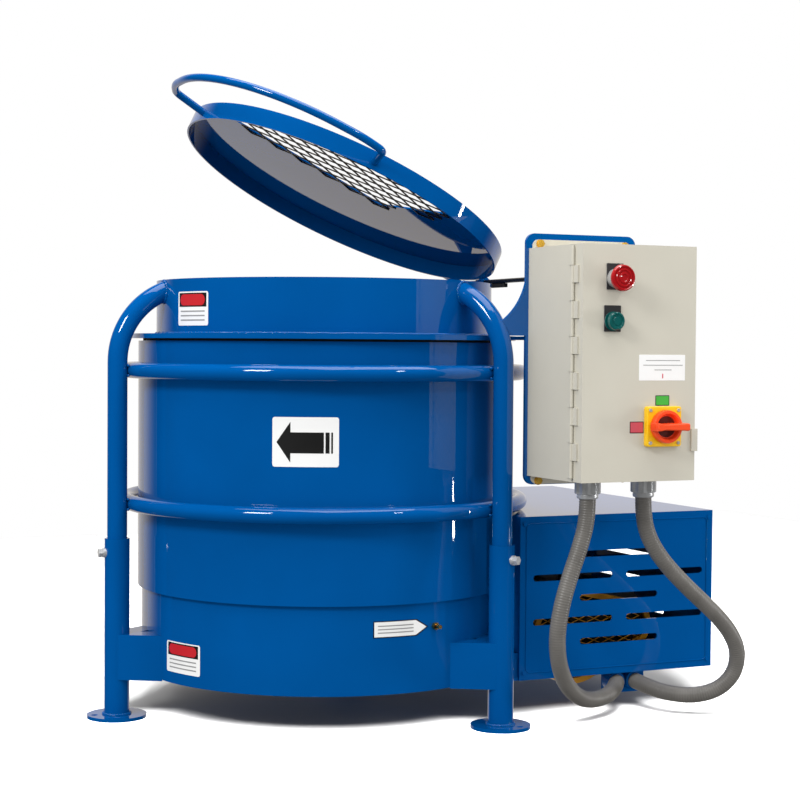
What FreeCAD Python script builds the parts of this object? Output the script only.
"""Rotating-tub mixer for clay, one STEP file per piece, in millimetres.

Frame: the origin is on the floor below the tub's axis, +Z is up, +X points from the tub to the drive cover,
and the control enclosure stands on the -Y side.  The lid is drawn standing open.
"""
import FreeCAD, Part
import math
import os

V = FreeCAD.Vector
UP = V(0, 0, 1)
ORIGIN = V(0, 0, 0)

# ---- driving dimensions ---------------------------------------------------------------------------------
LEG_R = 373.0            # axis of each leg from the tub's axis
LEG_ANGLES = {"left": 180.0, "front": -60.0, "rear": 60.0}
PIPE_R = 16.7            # 1 inch pipe
SLEEVE_R = 21.1          # 1 1/4 inch pipe, the lower half of a leg
SLEEVE_TOP = 302.0
FOOT_R = 50.0
FOOT_T = 6.0
ANCHOR_R = LEG_R + 38.0  # circle of the floor bolts
ANCHOR_HOLE_R = 5.5
BEND_R = 128.0
BEND_START = 598.0
BEND_DEG = 68.0
RING_R = 344.5
RING_TUBE_R = 13.35
RING_Z = {"upper": 583.5, "lower": 359.0}

TUB_R = 324.0
TUB_WALL = 5.0
TUB_Z = (213.0, 634.0)
TUB_FLOOR_Z = (222.0, 230.0)
FLANGE_R = 336.0
FLANGE_Z = (638.0, 646.0)
COLLAR_R = 293.0
SHEET = 4.0
COLLAR_TOP = 737.0
SKIRT_R = 317.0
SKIRT_Z = (68.0, 219.0)

HINGE_X = 318.0          # lid hinge line, parallel to Y
HINGE_Z = 746.0
HINGE_PIN_R = 4.0
LID_OPEN_DEG = 26.0
LID_R = 296.0
LID_SHEET = 3.0
LID_Z = (738.5, 768.5)   # lid rim and lid top when it is shut
GRATE_R = 245.0
GRATE_CHORD_Y = -26.0
GRATE_CORNER = (61.0, 125.0)   # X of the opening's right edge, at the chord and at the arc

PANEL_Y = -323.0         # front face of the plate that carries the enclosure
PANEL_T = 6.0
PANEL_X = (227.0, 436.0)
PANEL_Z = (400.0, 815.0)
BOX_X = (232.0, 441.5)
BOX_Z = (415.0, 790.0)
BOX_FRONT = -472.0
BOX_SHEET = 2.0
DOOR_Y = (-500.0, -474.5)
STOP_XZ = (289.0, 736.0)
START_XZ = (285.0, 669.0)
SWITCH_XZ = (378.0, 502.5)
CONNECTOR_Y = -430.0
CONNECTOR_X = (285.0, 390.0)

COVER_X = (239.0, 622.0)
COVER_Y = (-289.0, 289.0)
COVER_Z = (67.5, 343.0)
SLOT = (155.0, 11.0)     # length and height of a cooling slot
SLOT_ROWS = ((276.0, (431.0,)), (238.5, (342.0, 524.0)), (201.5, (432.0,)), (164.0, (342.0, 524.0)),
             (127.0, (433.0,)))
SIDE_SLOT = (240.0, 10.0)    # the longer slots in the cover's outer end
SIDE_SLOT_Z = (240.0, 194.0, 143.0)
DECK_Z = (67.5, 73.5)
RAIL = 40.0              # square rail under the cover
RAIL_Y = 263.0
GEAR_XY = (375.0, 30.0)  # output shaft of the reducer
INPUT_XZ = (375.0, 126.0)
MOTOR_XZ = (488.0, 142.0)
MOTOR_R = 62.0
CHAIN_Z = 181.0
TUB_SPROCKET_R = 150.0
DRIVE_SPROCKET_R = 45.0
INPUT_PULLEY_R = 70.0
MOTOR_PULLEY_R = 30.0
BELT_Y = -215.0
HUB_R = 55.0
SPINDLE_R = 30.0
RUNNING = 0.05           # radial clearance of a shaft in its bearing

CONDUIT_R = 13.35
LEFT_ROUTE = [(285, -430, 388), (285, -430, 350), (272, -430, 306), (254, -430, 260), (239, -430, 213),
              (233, -426, 165), (243, -414, 117), (269, -395, 76), (310, -370, 47), (356, -343, 36),
              (405, -320, 42), (436, -278, 50)]
RIGHT_ROUTE = [(390, -430, 388), (390, -430, 350), (403, -430, 312), (430, -430, 276), (464, -430, 243),
               (500, -430, 212), (535, -430, 183), (565, -428, 152), (585, -424, 118), (584, -416, 79),
               (562, -402, 50), (528, -379, 37), (494, -351, 39), (475, -316, 46), (472, -278, 50)]


# ---- helpers --------------------------------------------------------------------------------------------
def box(x, y, z):
    return Part.makeBox(x[1] - x[0], y[1] - y[0], z[1] - z[0], V(x[0], y[0], z[0]))


def rod(radius, start, end):
    start, end = V(*start), V(*end)
    return Part.makeCylinder(radius, (end - start).Length, start, end - start)


def ring(outer, inner, z0, z1):
    return rod(outer, (0, 0, z0), (0, 0, z1)).cut(rod(inner, (0, 0, z0 - 1), (0, 0, z1 + 1)))


def polar(radius, degrees, z=0.0):
    angle = math.radians(degrees)
    return V(radius * math.cos(angle), radius * math.sin(angle), z)


def plate_xz(points, y0, y1):
    """A flat plate whose outline lies in the XZ plane."""
    corners = [V(x, y0, z) for x, z in points]
    face = Part.Face(Part.makePolygon(corners + corners[:1]))
    return face.extrude(V(0, y1 - y0, 0))


def rounded_path(points, share=0.45, radii=None):
    """Straight runs joined by tangent arcs; each arc takes this share of its shorter run, or a given radius."""
    points = [V(*p) for p in points]
    edges, cursor, found = [], points[0], []
    for i in range(1, len(points) - 1):
        back, ahead = points[i - 1] - points[i], points[i + 1] - points[i]
        half_turn = (math.pi - back.getAngle(ahead)) / 2
        reach = share * min(back.Length, ahead.Length)
        if radii and i in radii:
            reach = radii[i] * math.tan(half_turn)
        radius = reach / math.tan(half_turn)
        found.append(radius)
        back.normalize()
        ahead.normalize()
        first, last = points[i] + back * reach, points[i] + ahead * reach
        bisector = (back + ahead).normalize()
        middle = points[i] + bisector * (radius / math.cos(half_turn) - radius)
        if (first - cursor).Length > 1e-6:
            edges.append(Part.LineSegment(cursor, first).toShape())
        edges.append(Part.Arc(first, middle, last).toShape())
        cursor = last
    if (points[-1] - cursor).Length > 1e-6:
        edges.append(Part.LineSegment(cursor, points[-1]).toShape())
    return Part.Wire(edges), found


def swept(path, radius):
    start = path.Edges[0].valueAt(path.Edges[0].FirstParameter)
    direction = path.Edges[0].tangentAt(path.Edges[0].FirstParameter)
    profile = Part.Wire(Part.makeCircle(radius, start, direction))
    return path.makePipeShell([profile], True, True)


def stadium(a, b, ra, rb, y0, y1):
    """The belt outline round two circles in the XZ plane, as a solid plate."""
    (ax, az), (bx, bz) = a, b
    gap = math.hypot(bx - ax, bz - az)
    along = math.atan2(bz - az, bx - ax)
    side = math.acos((ra - rb) / gap)
    def at(cx, cz, r, angle):
        return V(cx + r * math.cos(angle), y0, cz + r * math.sin(angle))
    up, down = along + side, along - side
    edges = [
        Part.LineSegment(at(ax, az, ra, up), at(bx, bz, rb, up)).toShape(),
        Part.Arc(at(bx, bz, rb, up), at(bx, bz, rb, along), at(bx, bz, rb, down)).toShape(),
        Part.LineSegment(at(bx, bz, rb, down), at(ax, az, ra, down)).toShape(),
        Part.Arc(at(ax, az, ra, down), at(ax, az, ra, along + math.pi), at(ax, az, ra, up)).toShape(),
    ]
    return Part.Face(Part.Wire(edges)).extrude(V(0, y1 - y0, 0))


def stadium_flat(a, b, ra, rb, z0, z1):
    """The same outline lying flat, for the chain: built upright and then turned about the X axis."""
    shape = stadium((a[0], -a[1]), (b[0], -b[1]), ra, rb, z0, z1)
    shape.rotate(ORIGIN, V(1, 0, 0), 90)
    return shape


def turned(shape, degrees):
    copy = shape.copy()
    copy.rotate(ORIGIN, UP, degrees)
    return copy


def opened(shape):
    """Turns a piece drawn for the shut lid to the standing open place."""
    copy = shape.copy()
    copy.rotate(V(HINGE_X, 0, HINGE_Z), V(0, 1, 0), LID_OPEN_DEG)
    return copy


def hex_prism(across_flats, start, end):
    start, end = V(*start), V(*end)
    direction = (end - start).normalize()
    side = UP.cross(direction) if abs(direction.z) < 0.9 else V(1, 0, 0)
    side.normalize()
    other = direction.cross(side)
    radius = across_flats / math.sqrt(3)
    corners = []
    for k in range(6):
        angle = math.radians(60 * k)
        corners.append(start + side * (radius * math.cos(angle)) + other * (radius * math.sin(angle)))
    face = Part.Face(Part.makePolygon(corners + corners[:1]))
    return face.extrude(V(*end) - start)


parts = {}


def keep(name, shape):
    if shape.ShapeType == "Compound" and len(shape.Solids) == 1:
        shape = shape.Solids[0]
    parts[name] = shape


# ---- legs, guard rings and base ---------------------------------------------------------------------------
# Each piece of a leg is drawn on the +X axis and turned round to its place.
def sleeve_shape():
    tube = rod(SLEEVE_R, (LEG_R, 0, FOOT_T), (LEG_R, 0, SLEEVE_TOP))
    foot = rod(FOOT_R, (LEG_R, 0, 0), (LEG_R, 0, FOOT_T))
    bore = rod(PIPE_R, (LEG_R, 0, 150), (LEG_R, 0, SLEEVE_TOP + 1))
    hole = rod(ANCHOR_HOLE_R, (ANCHOR_R, 0, -1), (ANCHOR_R, 0, FOOT_T + 1))
    return tube.fuse(foot).cut(bore).cut(hole).removeSplitter()


def post_shape():
    """Upright pipe that bends inwards at its top and is coped to the collar."""
    angle = math.radians(BEND_DEG)
    centre_x = LEG_R - BEND_R
    def on_bend(a):
        return V(centre_x + BEND_R * math.cos(a), 0, BEND_START + BEND_R * math.sin(a))
    end = on_bend(angle)
    tail = end + V(-math.sin(angle), 0, math.cos(angle)) * 40
    path = Part.Wire([
        Part.LineSegment(V(LEG_R, 0, 150), V(LEG_R, 0, BEND_START)).toShape(),
        Part.Arc(V(LEG_R, 0, BEND_START), on_bend(angle / 2), end).toShape(),
        Part.LineSegment(end, tail).toShape(),
    ])
    return swept(path, PIPE_R).cut(rod(COLLAR_R, (0, 0, 600), (0, 0, 800)))


def clamp_bolt_shape():
    z, face = SLEEVE_TOP - 24, LEG_R + SLEEVE_R
    boss = rod(8, (LEG_R + PIPE_R - 1, 0, z), (face + 4, 0, z))
    head = hex_prism(13, (face + 4, 0, z), (face + 11, 0, z))
    return boss.fuse(head).cut(rod(PIPE_R, (LEG_R, 0, z - 20), (LEG_R, 0, z + 20)))


def bracket_shape():
    """Two channel stubs that run from the leg towards its neighbours and stop at the skirt."""
    z, wide, wall = (66.0, 142.0), 20.0, 5.0
    stubs = []
    for side in (1, -1):
        solid = box((LEG_R - 180, LEG_R), (-wide, wide), z)
        inner = box((LEG_R - 181, LEG_R + 1), (-wide - 1, wide - wall), (z[0] + wall, z[1] - wall))
        stub = solid.cut(inner)
        if side < 0:
            stub = stub.mirror(ORIGIN, V(0, 1, 0))
        stub.rotate(V(LEG_R, 0, 0), UP, -30 * side)
        stubs.append(stub)
    outside = ring(LEG_R + 60, SKIRT_R, z[0] - 1, z[1] + 1)
    shape = stubs[0].fuse(stubs[1]).common(outside)
    return shape.cut(rod(SLEEVE_R, (LEG_R, 0, 0), (LEG_R, 0, 200)))


def guard_ring_shape(z):
    shape = Part.makeTorus(RING_R, RING_TUBE_R, V(0, 0, z), UP)
    for degrees in LEG_ANGLES.values():
        shape = shape.cut(turned(rod(PIPE_R, (LEG_R, 0, z - 40), (LEG_R, 0, z + 40)), degrees))
    return shape


def build_frame():
    sleeve, post, bolt, bracket = sleeve_shape(), post_shape(), clamp_bolt_shape(), bracket_shape()
    for name, degrees in LEG_ANGLES.items():
        leg = sleeve.cut(rod(8, (LEG_R, 0, SLEEVE_TOP - 24), (LEG_R + 40, 0, SLEEVE_TOP - 24)))
        keep(f"leg_{name}", turned(leg, degrees))
        keep(f"guard_post_{name}", turned(post, degrees))
        keep(f"clamp_bolt_{name}", turned(bolt, degrees))
        keep(f"leg_bracket_{name}", turned(bracket, degrees))
    for name, z in RING_Z.items():
        keep(f"{name}_guard_ring", guard_ring_shape(z))

    window = box((200, 400), (-165, 165), (168, 194))
    grease = rod(4, polar(SKIRT_R - 10, 283, 173), polar(SKIRT_R + 1, 283, 173))
    keep("base_skirt", ring(SKIRT_R, SKIRT_R - SHEET, *SKIRT_Z).cut(window).cut(grease))
    spider = rod(HUB_R, (0, 0, 76), (0, 0, 172))
    for degrees in LEG_ANGLES.values():
        spider = spider.fuse(turned(box((0, SKIRT_R), (-25, 25), (78, 128)), degrees))
    spider = spider.common(rod(SKIRT_R - SHEET, (0, 0, 0), (0, 0, 300)))
    keep("base_spider", spider.cut(rod(SPINDLE_R + RUNNING, (0, 0, 0), (0, 0, 300))).removeSplitter())
    fitting = rod(4, polar(SKIRT_R - SHEET, 283, 173), polar(SKIRT_R + 5, 283, 173))
    fitting = fitting.fuse(hex_prism(11, polar(SKIRT_R + 0.2, 283, 173), polar(SKIRT_R + 6, 283, 173)))
    fitting = fitting.fuse(rod(3.2, polar(SKIRT_R + 6, 283, 173), polar(SKIRT_R + 16, 283, 173)))
    keep("grease_fitting", fitting)


# ---- tub and collar ---------------------------------------------------------------------------------------
def build_tub():
    keep("tub_shell", ring(TUB_R, TUB_R - TUB_WALL, *TUB_Z))
    keep("tub_floor", ring(TUB_R - TUB_WALL, SPINDLE_R, *TUB_FLOOR_Z))
    z0, z1 = CHAIN_Z - 4, CHAIN_Z + 4
    spindle = rod(SPINDLE_R, (0, 0, 84), (0, 0, TUB_FLOOR_Z[1]))
    boss = rod(SPINDLE_R + 14, (0, 0, z0), (0, 0, TUB_FLOOR_Z[0]))
    sprocket = rod(TUB_SPROCKET_R - 6, (0, 0, z0), (0, 0, z1))
    keep("tub_sprocket", sprocket.fuse(boss).fuse(spindle).removeSplitter())

    keep("flange_plate", ring(FLANGE_R, COLLAR_R - SHEET, *FLANGE_Z))
    keep("collar", ring(COLLAR_R, COLLAR_R - SHEET, FLANGE_Z[1], COLLAR_TOP))

    bore = rod(COLLAR_R - SHEET, (0, 0, 200), (0, 0, 800))
    bar = turned(box((-300, 300), (-6, 6), (655, 690)), 25).common(bore)
    scraper = turned(box((240, 286), (6, 12), (250, 690)), 205)
    keep("scraper_bar", bar.fuse(scraper).removeSplitter())
    keep("plow_blade", turned(box((95, 195), (6, 14), (250, 690)), 25))


# ---- lid --------------------------------------------------------------------------------------------------
def grate_opening(margin, z0, z1):
    """Half-round opening in the lid's -Y side, drawn shut; margin grows it outwards."""
    radius, chord = GRATE_R + margin, GRATE_CHORD_Y + margin
    near, far = GRATE_CORNER[0] + margin, GRATE_CORNER[1] + margin
    far_y = -math.sqrt(GRATE_R ** 2 - GRATE_CORNER[1] ** 2)
    disc = rod(radius, (0, 0, z0), (0, 0, z1))
    slope = (GRATE_CORNER[1] - GRATE_CORNER[0]) / (far_y - GRATE_CHORD_Y)
    bottom = -GRATE_R - 40
    corners = [(-400, chord), (near + slope * margin, chord), (far + slope * (bottom - far_y), bottom), (-400, bottom)]
    outline = [V(x, y, z0) for x, y in corners]
    wedge = Part.Face(Part.makePolygon(outline + outline[:1])).extrude(V(0, 0, z1 - z0))
    return disc.common(wedge)


def build_lid():
    z0, z1 = LID_Z
    skirt = ring(LID_R, LID_R - LID_SHEET, z0, z1)
    top = rod(LID_R, (0, 0, z1 - LID_SHEET), (0, 0, z1))
    pan = skirt.fuse(top).cut(grate_opening(0, z0 + 5, z1 + 1))
    for y in (18.0, 122.0):
        lug = box((LID_R - 40, HINGE_X), (y - 3, y + 3), (z0 + 6, z1 + 2)).fuse(
            rod(11, (HINGE_X, y - 3, HINGE_Z), (HINGE_X, y + 3, HINGE_Z)))
        lug = lug.cut(rod(LID_R - LID_SHEET, (0, 0, z0 - 1), (0, 0, z1)))
        pan = pan.fuse(lug)
    pan = pan.cut(rod(HINGE_PIN_R, (HINGE_X, -80, HINGE_Z), (HINGE_X, 160, HINGE_Z)))
    keep("lid_pan", opened(pan.removeSplitter()))

    grate = grate_opening(9, z1 - LID_SHEET - 3, z1 - LID_SHEET)
    keep("lid_grate", opened(grate))

    pin = rod(HINGE_PIN_R, (HINGE_X, PANEL_Y + 1, HINGE_Z), (HINGE_X, 146, HINGE_Z))
    keep("lid_hinge_pin", opened(pin))

    # bow handle: a round bar arc with a tight bend and a straight leg at each end
    z = z0 + 13
    mid, half, reach, bow = 219.8, 62.0, 417.0, 236.0
    centre = polar(reach - 6.35 - bow, mid)
    steps = 6
    step = 2 * half / steps
    outer = bow / math.cos(math.radians(step / 2))
    points = [polar(LID_R - 1.5, mid - 36, z)]
    points.append(centre + polar(bow, mid - half) + V(0, 0, z + 6))
    for k in range(steps):
        points.append(centre + polar(outer, mid - half + step * (k + 0.5)) + V(0, 0, z + 6))
    points.append(centre + polar(bow, mid + half) + V(0, 0, z + 6))
    points.append(polar(LID_R - 1.5, mid + 36, z))
    corner = {1: 16.0, len(points) - 2: 16.0}
    path, _ = rounded_path(points, 0.499, corner)
    handle = swept(path, 6.35).cut(rod(LID_R, (0, 0, z0 - 5), (0, 0, z1 + 5)))
    keep("lid_handle", opened(handle))

    for name, y in (("front", 6.0), ("rear", 134.0)):
        foot = 240
        lug = plate_xz([(foot, 660), (foot, 727), (299, 732), (HINGE_X - 9, 750), (HINGE_X, 757),
                        (HINGE_X + 10, 750), (HINGE_X + 10, 738), (foot + 20, 660)], y - 4, y + 4)
        lug = lug.cut(rod(COLLAR_R, (0, 0, 600), (0, 0, 800)))
        lug = lug.cut(rod(HINGE_PIN_R + RUNNING, (HINGE_X, y - 9, HINGE_Z), (HINGE_X, y + 9, HINGE_Z)))
        keep(f"hinge_lug_{name}", lug)


# ---- control panel and enclosure --------------------------------------------------------------------------
def rounded_plate(x, z, y0, y1, radius):
    shape = box(x, (y0, y1), z)
    uprights = [e for e in shape.Edges if abs(e.Vertexes[0].Y - e.Vertexes[1].Y) > 1]
    return shape.makeFillet(radius, uprights)


def build_panel():
    y0, y1 = PANEL_Y, PANEL_Y + PANEL_T
    plate = rounded_plate(PANEL_X, PANEL_Z, y0, y1, 16)
    clear = rod(HINGE_PIN_R + 1.0, (HINGE_X, -400, HINGE_Z), (HINGE_X, -200, HINGE_Z))

    x0, z0, z1 = PANEL_X[0], FLANGE_Z[1], 734.0
    edges = [
        Part.LineSegment(V(x0, y0, z0), V(x0, y0, z1)).toShape(),
        Part.Arc(V(x0, y0, z1), V(x0 - 21, y0, z1 - 43), V(170, y0, z1 - 72)).toShape(),
        Part.LineSegment(V(170, y0, z1 - 72), V(170, y0, z0)).toShape(),
        Part.LineSegment(V(170, y0, z0), V(x0, y0, z0)).toShape(),
    ]
    gusset = Part.Face(Part.Wire(edges)).extrude(V(0, PANEL_T, 0))
    plate = plate.cut(clear).fuse(gusset).cut(parts["guard_post_front"])
    keep("panel_plate", plate.removeSplitter())

    # a flat strip at the height of the flange ties the plate to it
    brace = box((230, 272), (y1, -200), (FLANGE_Z[0] + 1, FLANGE_Z[1] - 1))
    keep("panel_brace", brace.cut(rod(FLANGE_R, (0, 0, 600), (0, 0, 800))))


def build_enclosure():
    (x0, x1), (z0, z1) = BOX_X, BOX_Z
    back, front, t = PANEL_Y, BOX_FRONT, BOX_SHEET
    outer = box((x0, x1), (front, back), (z0, z1))
    inner = box((x0 + t, x1 - t), (front - 1, back - t), (z0 + t, z1 - t))
    shell = outer.cut(inner)
    lip = box((x0, x1), (front, front + t), (z0, z1)).cut(
        box((x0 + 12, x1 - 12), (front - 1, front + t + 1), (z0 + 12, z1 - 12)))
    shell = shell.fuse(lip)
    for x in CONNECTOR_X:
        shell = shell.cut(rod(11, (x, CONNECTOR_Y, z0 - 1), (x, CONNECTOR_Y, z0 + t + 1)))
    # the back sheet stands out above and below as a flange with rounded corners
    shell = shell.fuse(rounded_plate((x0 + 6, x1 - 17), (z0 - 14, z1 + 15), back - t, back, 11))
    knuckle_axis = (x0 - 3.0, front - 1.0)
    for k in range(13):
        low = z0 + 6 + 28 * k
        barrel = rod(3.0, (*knuckle_axis, low), (*knuckle_axis, low + 27))
        if k % 2 == 0:
            leaf = box((x0 - 3.0, x0), (front - 1.0, front + 14), (low, low + 27))
            shell = shell.fuse(barrel.fuse(box((x0 - 1.5, x0), (front, front + 14), (low, low + 27))))
            shell = shell.fuse(leaf.common(box((x0 - 3, x0), (front - 1, front + 2), (0, 900))))
    shell = shell.fuse(rod(1.5, (*knuckle_axis, z0 + 4), (*knuckle_axis, z1 - 2)))
    keep("enclosure_box", shell.removeSplitter())

    door_front, door_back = DOOR_Y
    door = box((x0, x1), (door_front, door_back), (z0, z1)).cut(
        box((x0 + t, x1 - t), (door_front + t, door_back + 1), (z0 + t, z1 - t)))
    for k in range(1, 13, 2):
        low = z0 + 6 + 28 * k
        door = door.fuse(rod(3.0, (*knuckle_axis, low), (*knuckle_axis, low + 27)))
        door = door.fuse(box((x0 - 3.0, x0), (door_back - 14, front - 1.0), (low, low + 27)))
    door = door.cut(rod(1.5 + RUNNING, (*knuckle_axis, z0 - 1), (*knuckle_axis, z1 + 1)))
    for x, z in (STOP_XZ, START_XZ, SWITCH_XZ):
        door = door.cut(rod(11, (x, door_front - 1, z), (x, door_front + 5, z)))
    keep("enclosure_door", door.removeSplitter())
    clamp = box((x1 + 0.5, x1 + 3.5), (door_front - 3, front + 16), (462, 498)).fuse(
        box((x1 - 8, x1 + 3.5), (door_front - 3, door_front), (462, 498)))
    clamp = clamp.fuse(rod(4, (x1 + 3.5, front - 12, 480), (x1 + 8, front - 12, 480)))
    keep("door_clamp", clamp)

    plate_front = back - t - 9
    gear = box((x0 + 20, x1 - 20), (plate_front, back - t - 6), (z0 + 20, z1 - 20))
    for z in (z0 + 50, z1 - 50):
        gear = gear.fuse(box((x0 + 30, x1 - 30), (back - t - 6, back - t), (z - 10, z + 10)))
    gear = gear.fuse(box((x0 + 60, x0 + 130), (plate_front - 80, plate_front), (600, 690)))
    sx, sz = SWITCH_XZ
    gear = gear.fuse(box((sx - 28, sx + 28), (plate_front - 70, plate_front), (sz - 30, sz + 30)))
    keep("switchgear", gear.removeSplitter())


def build_controls():
    front = DOOR_Y[0]
    x, z = STOP_XZ
    bezel = box((x - 15, x + 15), (front - 1.5, front), (z - 17.5, z + 23.5))
    bezel = bezel.fuse(rod(15, (x, front - 12, z), (x, front, z))).fuse(rod(11, (x, front, z), (x, front + 30, z)))
    keep("stop_bezel", bezel.cut(rod(6.1, (x, front - 20, z), (x, front + 40, z))).removeSplitter())
    head = rod(21, (x, front - 34, z), (x, front - 20, z))
    rims = [e for e in head.Edges if abs(e.CenterOfMass.y - (front - 34)) < 0.1 and e.Length > 50]
    head = head.makeFillet(6, rims)
    keep("stop_mushroom", head.fuse(rod(6, (x, front - 20, z), (x, front + 12, z))).removeSplitter())

    x, z = START_XZ
    bezel = box((x - 15, x + 15), (front - 1.5, front), (z - 16.5, z + 24.5))
    bezel = bezel.fuse(rod(15, (x, front - 4, z), (x, front, z))).fuse(rod(11, (x, front, z), (x, front + 30, z)))
    keep("start_bezel", bezel.cut(rod(9.1, (x, front - 20, z), (x, front + 40, z))).removeSplitter())
    cap = rod(14, (x, front - 17, z), (x, front - 9, z))
    keep("start_button", cap.fuse(rod(9, (x, front - 9, z), (x, front + 8, z))).removeSplitter())

    x, z = SWITCH_XZ
    plate = rounded_plate((x - 32, x + 32), (z - 32, z + 32), front - 10, front, 4)
    plate = plate.cut(rod(8.05, (x, front - 20, z), (x, front + 10, z)))
    keep("disconnect_plate", plate)
    dial = rod(25, (x, front - 22, z), (x, front - 11, z)).cut(rod(17, (x, front - 30, z), (x, front - 14, z)))
    bar = rounded_plate((x - 29, x + 29), (z - 7, z + 7), front - 42, front - 14, 5)
    shaft = rod(8, (x, front - 15, z), (x, front + 60, z))
    keep("disconnect_handle", dial.fuse(bar).fuse(shaft).removeSplitter())


def conduit(name, route):
    path, radii = rounded_path(route)
    shape = swept(path, CONDUIT_R)
    print(name, "radii", [round(r) for r in radii], "length", round(path.Length),
          "volume ratio", round(shape.Volume / (math.pi * CONDUIT_R ** 2 * path.Length), 4))
    keep(name, shape)


def build_conduits():
    z0 = BOX_Z[0]
    for name, x in zip(("left", "right"), CONNECTOR_X):
        nut = hex_prism(36, (x, CONNECTOR_Y, z0 - 23), (x, CONNECTOR_Y, z0 - 4))
        nut = nut.fuse(rod(16, (x, CONNECTOR_Y, z0 - 4), (x, CONNECTOR_Y, z0)))
        body = rod(17, (x, CONNECTOR_Y, 388), (x, CONNECTOR_Y, z0 - 23))
        thread = rod(11, (x, CONNECTOR_Y, z0), (x, CONNECTOR_Y, z0 + 12))
        keep(f"conduit_fitting_{name}", body.fuse(nut).fuse(thread).removeSplitter())
    conduit("conduit_left", LEFT_ROUTE)
    conduit("conduit_right", RIGHT_ROUTE)
    y = LEFT_ROUTE[-1][1]
    shape = box((428, 500), (-262, -239), (28, DECK_Z[0]))
    for route in (LEFT_ROUTE, RIGHT_ROUTE):
        x, _, z = route[-1]
        shape = shape.fuse(rod(16.5, (x, y, z), (x, -255, z)))
    shape = shape.cut(parts["conduit_left"]).cut(parts["conduit_right"])
    keep("junction_box", shape.removeSplitter())


# ---- drive ------------------------------------------------------------------------------------------------
def slotted(shape, y0, y1):
    length, height = SLOT
    for z, centres in SLOT_ROWS:
        for x in centres:
            half = length / 2 - height / 2
            tool = box((x - half, x + half), (y0, y1), (z - height / 2, z + height / 2))
            tool = tool.fuse(rod(height / 2, (x - half, y0, z), (x - half, y1, z)))
            tool = tool.fuse(rod(height / 2, (x + half, y0, z), (x + half, y1, z)))
            shape = shape.cut(tool)
    return shape


def build_cover():
    (x0, x1), (y0, y1), (z0, z1), t = COVER_X, COVER_Y, COVER_Z, 3.0
    shell = box((x0, x1), (y0 + t, y1 - t), (z0, z1)).cut(
        box((x0 + t, x1 - t), (y0, y1), (z0 - 1, z1 - t)))
    chain_gap = box((x0 - 5, x0 + 10), (-160, 160), (z0 - 1, 260))
    rail_gap = None
    for side in (1, -1):
        y = side * RAIL_Y
        gap = box((x0 - 5, x0 + 10), (y - RAIL / 2 - 0.5, y + RAIL / 2 + 0.5), (z0 - 1, DECK_Z[1] + RAIL + 0.5))
        rail_gap = gap if rail_gap is None else rail_gap.fuse(gap)
    deck_gap = box((x0 - 5, x0 + 10), (y0, y1), (z0 - 1, DECK_Z[1] + 0.5))
    skirt_gap = rod(SKIRT_R + 0.5, (0, 0, 0), (0, 0, TUB_Z[0] - 4)).fuse(
        rod(TUB_R + 6, (0, 0, TUB_Z[0] - 8), (0, 0, 400)))
    shell = shell.cut(chain_gap).cut(rail_gap).cut(deck_gap).cut(skirt_gap)
    half, height = (SIDE_SLOT[0] - SIDE_SLOT[1]) / 2, SIDE_SLOT[1]
    for z in SIDE_SLOT_Z:
        shell = shell.cut(box((x1 - 5, x1 + 1), (-20 - half, -20 + half), (z - height / 2, z + height / 2)))
        for end in (-half, half):
            shell = shell.cut(rod(height / 2, (x1 - 5, end - 20, z), (x1 + 1, end - 20, z)))
    keep("cover_shell", shell)
    for name, ya, yb in (("front", y0, y0 + t), ("back", y1 - t, y1)):
        panel = slotted(box((x0, x1), (ya, yb), (z0, z1)), ya - 1, yb + 1)
        keep(f"cover_{name}_panel", panel)


def build_deck():
    (x0, x1), (y0, y1) = COVER_X, COVER_Y
    inner = (y0 + 3, y1 - 3)
    deck = box((225, x1 - 3), inner, DECK_Z).cut(rod(SKIRT_R, (0, 0, 0), (0, 0, 300)))
    for name in ("front", "rear"):
        deck = deck.cut(parts[f"leg_bracket_{name}"])
    guard_x = (INPUT_XZ[0] - INPUT_PULLEY_R - 2, INPUT_XZ[0] + INPUT_PULLEY_R + 18)
    deck = deck.cut(box(guard_x, (BELT_Y - 24, BELT_Y + 24), (DECK_Z[0] - 1, DECK_Z[1] + 1)))
    for side in (1, -1):
        y = side * RAIL_Y
        rail = box((206.5, x1 - 3), (y - RAIL / 2, y + RAIL / 2), (DECK_Z[1], DECK_Z[1] + RAIL))
        bore = box((200, x1 + 3), (y - RAIL / 2 + 3, y + RAIL / 2 - 3), (DECK_Z[1] + 3, DECK_Z[1] + RAIL - 3))
        deck = deck.fuse(rail.cut(bore))
    keep("drive_deck", deck.removeSplitter())


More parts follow.
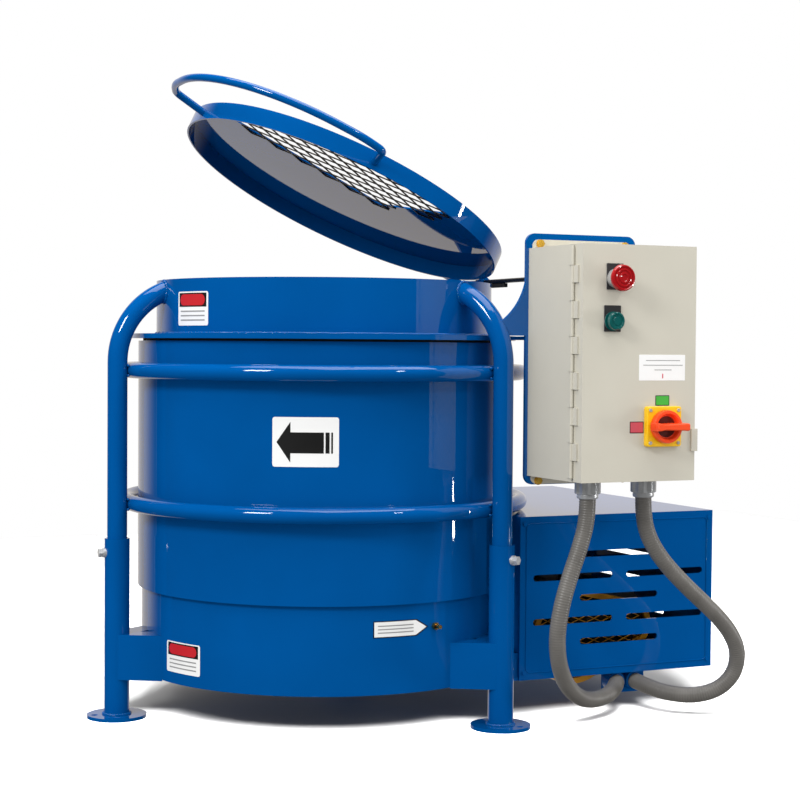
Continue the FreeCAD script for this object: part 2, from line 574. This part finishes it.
def build_drive():
    gx, gy = GEAR_XY
    ix, iz = INPUT_XZ
    mx, mz = MOTOR_XZ
    top = DECK_Z[1]
    # the worm gear housing, with an upright output shaft and a level input shaft
    housing = box((ix - 44, ix + 44), (-90, 100), (top, 166)).fuse(box((ix - 50, ix + 44), (-80, 90), (top, top + 10)))
    housing = housing.fuse(rod(30, (gx, gy, 166), (gx, gy, 172))).fuse(rod(34, (ix, -110, iz), (ix, -90, iz)))
    shaft_r = 12.0
    bore = rod(shaft_r + RUNNING, (gx, gy, 120), (gx, gy, 175))
    bore_in = rod(shaft_r + RUNNING, (ix, -115, iz), (ix, -60, iz))
    keep("gear_reducer", housing.cut(bore).cut(bore_in).removeSplitter())
    out = rod(shaft_r, (gx, gy, 122), (gx, gy, 192)).fuse(
        rod(DRIVE_SPROCKET_R - 6, (gx, gy, CHAIN_Z - 4), (gx, gy, CHAIN_Z + 4)))
    keep("drive_sprocket", out.removeSplitter())

    y0, y1 = BELT_Y - 10, BELT_Y + 10
    pulley = rod(INPUT_PULLEY_R, (ix, y0, iz), (ix, y1, iz)).cut(
        rod(INPUT_PULLEY_R + 1, (ix, BELT_Y - 6, iz), (ix, BELT_Y + 6, iz)).cut(
            rod(INPUT_PULLEY_R - 9, (ix, y0, iz), (ix, y1, iz))))
    keep("input_pulley", pulley.fuse(rod(shaft_r, (ix, y0 - 4, iz), (ix, -62, iz))).removeSplitter())
    pulley = rod(MOTOR_PULLEY_R, (mx, y0, mz), (mx, y1, mz)).cut(
        rod(MOTOR_PULLEY_R + 1, (mx, BELT_Y - 6, mz), (mx, BELT_Y + 6, mz)).cut(
            rod(MOTOR_PULLEY_R - 9, (mx, y0, mz), (mx, y1, mz))))
    keep("motor_pulley", pulley.fuse(rod(9.5, (mx, y0 - 4, mz), (mx, -150, mz))).removeSplitter())

    back = -180.0
    body = rod(MOTOR_R, (mx, back, mz), (mx, 40, mz)).fuse(rod(MOTOR_R + 4, (mx, 40, mz), (mx, 84, mz)))
    feet = box((mx - 58, mx + 62), (-150, -40), (top, top + 8)).fuse(
        box((mx - 44, mx + 44), (-140, -50), (top, mz - 40)))
    terminal = box((mx - 36, mx + 36), (-40, 36), (mz + 40, mz + 96))
    body = body.fuse(feet).fuse(terminal)
    for k in range(24):
        fin = box((mx + MOTOR_R - 4, mx + MOTOR_R + 4), (back + 10, 34), (mz - 1.5, mz + 1.5))
        fin.rotate(V(mx, 0, mz), V(0, 1, 0), 15 * k)
        body = body.fuse(fin)
    body = body.common(box((mx - 200, mx + 200), (-400, 400), (top, 400)))
    keep("motor", body.cut(rod(9.5 + RUNNING, (mx, back - 1, mz), (mx, -148, mz))).removeSplitter())

    outer = stadium(INPUT_XZ, MOTOR_XZ, INPUT_PULLEY_R - 0.5 + 2, MOTOR_PULLEY_R - 0.5 + 2, BELT_Y - 5.5, BELT_Y + 5.5)
    inner = stadium(INPUT_XZ, MOTOR_XZ, INPUT_PULLEY_R - 8.5, MOTOR_PULLEY_R - 8.5, BELT_Y - 6, BELT_Y + 6)
    keep("drive_belt", outer.cut(inner))
    z0, z1 = CHAIN_Z - 3.5, CHAIN_Z + 3.5
    outer = stadium_flat((0, 0), GEAR_XY, TUB_SPROCKET_R + 4, DRIVE_SPROCKET_R + 4, z0, z1)
    inner = stadium_flat((0, 0), GEAR_XY, TUB_SPROCKET_R - 5.5, DRIVE_SPROCKET_R - 5.5, z0 - 1, z1 + 1)
    keep("drive_chain", outer.cut(inner))

    outer = stadium(INPUT_XZ, MOTOR_XZ, INPUT_PULLEY_R + 12, MOTOR_PULLEY_R + 12, BELT_Y - 22, BELT_Y + 22)
    inner = stadium(INPUT_XZ, MOTOR_XZ, INPUT_PULLEY_R + 10, MOTOR_PULLEY_R + 10, BELT_Y - 20, BELT_Y + 24)
    feet = box((ix - 100, ix - INPUT_PULLEY_R + 10), (BELT_Y - 22, BELT_Y + 22), (top, top + 3)).fuse(
        box((ix + INPUT_PULLEY_R - 10, ix + 110), (BELT_Y - 22, BELT_Y + 22), (top, top + 3)))
    keep("belt_guard", outer.fuse(feet).cut(inner).removeSplitter())


build_frame()
build_tub()
build_lid()
build_panel()
build_enclosure()
build_controls()
build_conduits()
build_cover()
build_deck()
build_drive()

os.makedirs("parts", exist_ok=True)
for name, shape in sorted(parts.items()):
    shape.exportStep(f"parts/{name}.step")
    if len(shape.Solids) != 1 or not shape.isValid():
        print("CHECK", name, "solids", len(shape.Solids), "valid", shape.isValid())
print(len(parts), "pieces")
